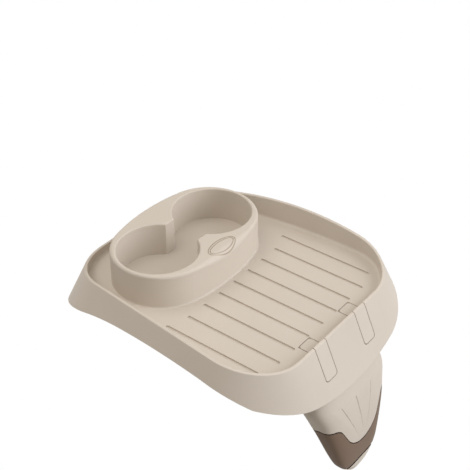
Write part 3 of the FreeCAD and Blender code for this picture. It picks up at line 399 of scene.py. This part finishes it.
def grip_room(name, seam):
    """What lies between the grip's upper edge and the toe; the seam narrows it all round."""
    top = -GRIP_TOP - seam
    middle = (0.0, TONGUE_RADIUS - TONGUE_BOTTOM - seam)
    corner = (TONGUE_HALF, top)
    away = math.hypot(corner[0] - middle[0], corner[1] - middle[1])
    lean = math.atan2(corner[1] - middle[1], corner[0]) - math.acos(TONGUE_RADIUS / away)
    flank = lean + math.pi / 2
    shoulder = (corner[0] + SHOULDER_ROUND * math.tan(flank / 2), corner[1] - SHOULDER_ROUND)
    right = arc(middle, TONGUE_RADIUS, -math.pi / 2, lean, TONGUE_STEPS)
    right += arc(shoulder, SHOULDER_ROUND, math.pi / 2 + flank, math.pi / 2, SHOULDER_STEPS)
    left = [(-x, z) for x, z in reversed(right[1:])]
    outline = left + right + [(ROOM_HALF, top), (ROOM_HALF, ROOM_BOTTOM),
                              (-ROOM_HALF, ROOM_BOTTOM), (-ROOM_HALF, top)]
    room = slab(name, outline, ROOM_FRONT, ROOM_BACK, from_front)
    fall = math.tan(GRIP_SLOPE)
    over = slab(name + "Over", [(CUT_FRONT, top - (CUT_FRONT - GRIP_PIVOT) * fall),
                                (0.0, top - (0.0 - GRIP_PIVOT) * fall),
                                (0.0, CUT_TOP), (CUT_FRONT, CUT_TOP)], -CUT_HALF, CUT_HALF, from_side)
    drop = math.tan(TOE_SLOPE)
    edge = TOE_START[1] + seam / math.cos(TOE_SLOPE)
    toe = slab(name + "Toe", [(CUT_FRONT, edge + (TOE_START[0] - CUT_FRONT) * drop),
                              (TOE_BACK, edge + (TOE_START[0] - TOE_BACK) * drop),
                              (TOE_BACK, CUT_BOTTOM), (CUT_FRONT, CUT_BOTTOM)],
               -CUT_HALF, CUT_HALF, from_side)
    return carve(room, [over, toe], "DIFFERENCE")


# The blades on the leg's front: three shallow hollows that run together downward, each
# deepest along its right edge and fading out at its left one. Each is given by its top
# left, top right and lower point, seen from the front, and its greatest depth.
BLADES = (
    ((-37.0, -42.0), (-24.5, -46.9), (-5.8, -88.5), 0.45),
    ((-20.9, -48.5), (-5.6, -46.9), (0.6, -88.0), 0.4),
    ((0.0, -48.5), (16.5, -46.9), (3.2, -86.0), 0.22),
)
BLADE_MARGIN = 4.0
BLADE_FRONT = -150.0
BLADE_BACK = -100.0


def on_leg(x, z):
    """The point of the leg's front at a place seen from the front."""
    half, depth = leg_size(HALF_WIDTH, -z), leg_size(THICKNESS, -z)
    bulge = (1 - abs(x / half) ** LEG_SQUARENESS) ** (1 / LEG_SQUARENESS)
    return Vector((x, -leg_size(FRONT, -z) + depth / 2 * (1 - bulge), z)) * MM


def blade_cutter(number, whole):
    """What one blade takes off: all that lies before the leg once it has been turned inward
    about the blade's left edge, as deep at the right edge as the blade is."""
    top_left, top_right, low, blade_depth = BLADES[number]
    start, end, edge = on_leg(*top_left), on_leg(*low), on_leg(*top_right)
    hinge = (end - start).normalized()
    reach = (edge - start) - hinge * (edge - start).dot(hinge)
    angle = math.asin(blade_depth * MM / reach.length)
    turn = Matrix.Translation(start) @ Matrix.Rotation(angle, 4, hinge) @ Matrix.Translation(-start)
    if (turn @ edge).y < edge.y:
        turn = Matrix.Translation(start) @ Matrix.Rotation(-angle, 4, hinge) @ Matrix.Translation(-start)
    kept = copy_of(whole, "kept%d" % number, turn)
    wide = [(top_left[0] - BLADE_MARGIN, top_left[1]), top_right, low, (low[0] - BLADE_MARGIN, low[1])]
    cutter = slab("blade%d" % number, wide, BLADE_FRONT, BLADE_BACK, from_front)
    return carve(cutter, [kept], "DIFFERENCE")


whole_leg = leg_body("whole_leg", 0.0, LEG_TIP)
step = carve(grip_room("step", 0.0), [leg_body("core", GRIP_STEP, CORE_BOTTOM)], "DIFFERENCE")
leg_both = carve(copy_of(whole_leg, "leg_both"), [step], "DIFFERENCE")
leg_back = carve(copy_of(leg_both, "leg_back"), [wall_cylinder("split_back", SPLIT_RADIUS)], "INTERSECT")
leg_front = carve(leg_both, [wall_cylinder("split_front", SPLIT_RADIUS + SHELL_GAP)], "DIFFERENCE")
carve(leg_front, [blade_cutter(k, whole_leg) for k in range(len(BLADES))], "DIFFERENCE")
for x, down in SHELL_SCREWS:
    seat = -math.sqrt(SPLIT_RADIUS ** 2 - (SPLIT_CENTRE_DOWN - down) ** 2) + SCREW_SEAT
    ring = [(x + px, -down + pz) for px, pz in round_outline((0, 0), SCREW_HOLE_RADIUS, SCREW_HOLE_SIDES)]
    carve(leg_back, [slab("screw_hole", ring, seat, 0.0, from_front)], "DIFFERENCE")
leg_plastic = moulded("LegPlastic", BEIGE, BEIGE_DARK, roughness=0.5, specular=0.2,
                      scale=PLASTIC_GRAIN, strength=0.3)


def finish_piece(piece, name, materials, node):
    """Names a piece, smooths it between its real edges, and lets it stand for its node."""
    piece.name = name
    kept = [min(face.material_index, len(materials) - 1) for face in piece.data.polygons]
    piece.data.materials.clear()
    for material in materials:
        piece.data.materials.append(material)
    piece.data.polygons.foreach_set("material_index", kept)
    piece.data.polygons.foreach_set("use_smooth", [True] * len(piece.data.polygons))
    piece.data.set_sharp_from_angle(angle=SHARP_EDGE)
    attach(piece, "root")
    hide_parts(node)


finish_piece(leg_front, "leg_front_moulding", [leg_plastic], "leg_front_shell")
finish_piece(leg_back, "leg_back_moulding", [leg_plastic], "leg_back_shell")

# Grip: a soft rubber sleeve in a dark taupe, flush with the leg, with a velvety matte
# face. A narrow dark line of painted shade parts it from the plastic: there the rubber lies
# lower, by SEAM_DEPTH, and meets the edge of the plastic, and the faces in that gap are
# painted near black as shade.
TAUPE = (0.208, 0.143, 0.102)
TAUPE_DARK = (0.191, 0.131, 0.094)
GRIP_GAP_SHADE = (0.040, 0.028, 0.020)
GRIP_GAP_DEEP_SHADE = (0.036, 0.025, 0.018)
RUBBER_GRAIN = 1500.0
SEAM_DEPTH = 0.9
LIP_GAP = 0.05
CORE_GAP = 0.1
RUBBER_FACE, SHADE_FACE = 0, 1
grip_rubber = moulded("GripRubber", TAUPE, TAUPE_DARK, roughness=0.62, specular=0.2,
                      scale=RUBBER_GRAIN, strength=0.6)
rubber_shader = grip_rubber.node_tree.nodes["Principled BSDF"]
rubber_shader.inputs["Sheen Weight"].default_value = 0.1
rubber_shader.inputs["Sheen Roughness"].default_value = 0.5
# Near-black painted shade for the faces in the gap along the grip's edge.
gap_shade_paint = moulded("GripGapShade", GRIP_GAP_SHADE, GRIP_GAP_DEEP_SHADE, roughness=0.8, specular=0.05,
                    scale=RUBBER_GRAIN, strength=0.6)
grip_piece = copy_of(whole_leg, "grip")
grip_edges = grip_room("grip_edges", GRIP_SEAM)
grip_lip = carve(leg_body("grip_lip", SEAM_DEPTH, LEG_TIP - SEAM_DEPTH),
                 [grip_room("lip_room", LIP_GAP)], "INTERSECT")
for body, face_kind in ((grip_piece, RUBBER_FACE), (grip_edges, SHADE_FACE), (grip_lip, SHADE_FACE)):
    body.data.materials.clear()
    body.data.materials.append(grip_rubber)
    body.data.materials.append(gap_shade_paint)
    body.data.polygons.foreach_set("material_index", [face_kind] * len(body.data.polygons))
carve(grip_piece, [grip_edges], "INTERSECT")
carve(grip_piece, [grip_lip], "UNION")
carve(grip_piece, [leg_body("under_grip", GRIP_STEP - CORE_GAP, CORE_BOTTOM)], "DIFFERENCE")
bpy.data.objects.remove(whole_leg)
finish_piece(grip_piece, "soft_grip", [grip_rubber, gap_shade_paint], "leg_grip")

# Screws: plain stainless steel with fine turning marks. Two hold the hooks' studs and
# three the leg's halves, all of them from inside or behind the leg.
STEEL = (0.56, 0.56, 0.55)
STEEL_DARK = (0.50, 0.50, 0.49)
TURNING_MARKS = 4000.0
screw_steel = moulded("ScrewSteel", STEEL, STEEL_DARK, roughness=0.32, specular=0.5,
                      scale=TURNING_MARKS, strength=0.4)
screw_steel.node_tree.nodes["Principled BSDF"].inputs["Metallic"].default_value = 1.0
for node in ("hook_screw_left", "hook_screw_right", "shell_screw_1", "shell_screw_2", "shell_screw_3"):
    dress(node, screw_steel)

# Backdrop: a plain sheet well below the leg. The camera, gloss and anything seen through
# a clear part see it as even white, and it throws only a little warm light back up. The
# room around it is a dim warm white.
FLOOR_LEVEL = -0.42
FLOOR_WIDTH = 12
FLOOR_TINT = (0.32, 0.29, 0.25)
STUDIO_TINT = (1.0, 0.950, 0.888)
STUDIO_STRENGTH = 0.5
bpy.ops.mesh.primitive_plane_add(size=FLOOR_WIDTH, location=(0, 0, FLOOR_LEVEL))
floor = bpy.context.object
floor.name = "studio_floor"
white = bpy.data.materials.new("FloorWhite")
white.use_nodes = True
sheet = white.node_tree
paper = sheet.nodes["Principled BSDF"]
paper.inputs["Base Color"].default_value = (*FLOOR_TINT, 1)
paper.inputs["Roughness"].default_value = 0.9
glow = sheet.nodes.new("ShaderNodeEmission")
glow.inputs["Color"].default_value = (1, 1, 1, 1)
paths = sheet.nodes.new("ShaderNodeLightPath")
seen_or_gloss = sheet.nodes.new("ShaderNodeMath")
seen_or_gloss.operation = "MAXIMUM"
or_through = sheet.nodes.new("ShaderNodeMath")
or_through.operation = "MAXIMUM"
choice = sheet.nodes.new("ShaderNodeMixShader")
ending = sheet.nodes["Material Output"]
sheet.links.new(paths.outputs["Is Camera Ray"], seen_or_gloss.inputs[0])
sheet.links.new(paths.outputs["Is Glossy Ray"], seen_or_gloss.inputs[1])
sheet.links.new(seen_or_gloss.outputs["Value"], or_through.inputs[0])
sheet.links.new(paths.outputs["Is Transmission Ray"], or_through.inputs[1])
sheet.links.new(or_through.outputs["Value"], choice.inputs["Fac"])
sheet.links.new(paper.outputs["BSDF"], choice.inputs[1])
sheet.links.new(glow.outputs["Emission"], choice.inputs[2])
sheet.links.new(choice.outputs["Shader"], ending.inputs["Surface"])
floor.data.materials.append(white)

world = bpy.data.worlds.new("Studio")
bpy.context.scene.world = world
world.use_nodes = True
world.node_tree.nodes["Background"].inputs["Color"].default_value = (*STUDIO_TINT, 1)
world.node_tree.nodes["Background"].inputs["Strength"].default_value = STUDIO_STRENGTH

# Lights: a broad soft key in front and a little to the right, and a warm fill from high
# up, behind and a little to the left. Both look at the middle of the tray.
for name, place, size, power, tint in (
    ("KeyLight", (0.535, -1.20, 0.63), 1.0, 13.9, (0.985, 1.0, 1.03)),
    ("FillLight", (-0.40, 0.45, 1.30), 1.2, 8.3, (1.0, 0.95, 0.88)),
):
    lamp = bpy.data.lights.new(name, "AREA")
    lamp.shape = "SQUARE"
    lamp.size = size
    lamp.energy = power
    lamp.color = tint
    light = bpy.data.objects.new(name, lamp)
    light.location = place
    light.rotation_euler = (-light.location).to_track_quat("-Z", "Y").to_euler()
    bpy.context.collection.objects.link(light)

# Camera: the photograph's place, angle and length of lens, fitted to where the grooves
# end and to the outlines of the rim and the well.
FOCAL_PIXELS = 1038.18
PHOTO_PIXELS = 470.0
SENSOR_WIDTH = 36.0
CAMERA_PLACE = (-0.5281, -0.4102, 0.5195)
CAMERA_YAW = math.radians(52.4136)
CAMERA_PITCH = math.radians(35.2220)
CAMERA_ROLL = 0.0031
camera_data = bpy.data.cameras.new("PhotoCamera")
camera_data.sensor_width = SENSOR_WIDTH
camera_data.lens = SENSOR_WIDTH * FOCAL_PIXELS / PHOTO_PIXELS
camera = bpy.data.objects.new("PhotoCamera", camera_data)
bpy.context.collection.objects.link(camera)
camera.location = CAMERA_PLACE
camera.rotation_euler = (math.pi / 2 - CAMERA_PITCH, 0.0, -CAMERA_YAW)
camera.rotation_euler.rotate_axis("Z", CAMERA_ROLL)
bpy.context.scene.camera = camera
bpy.context.scene.view_settings.view_transform = "Standard"
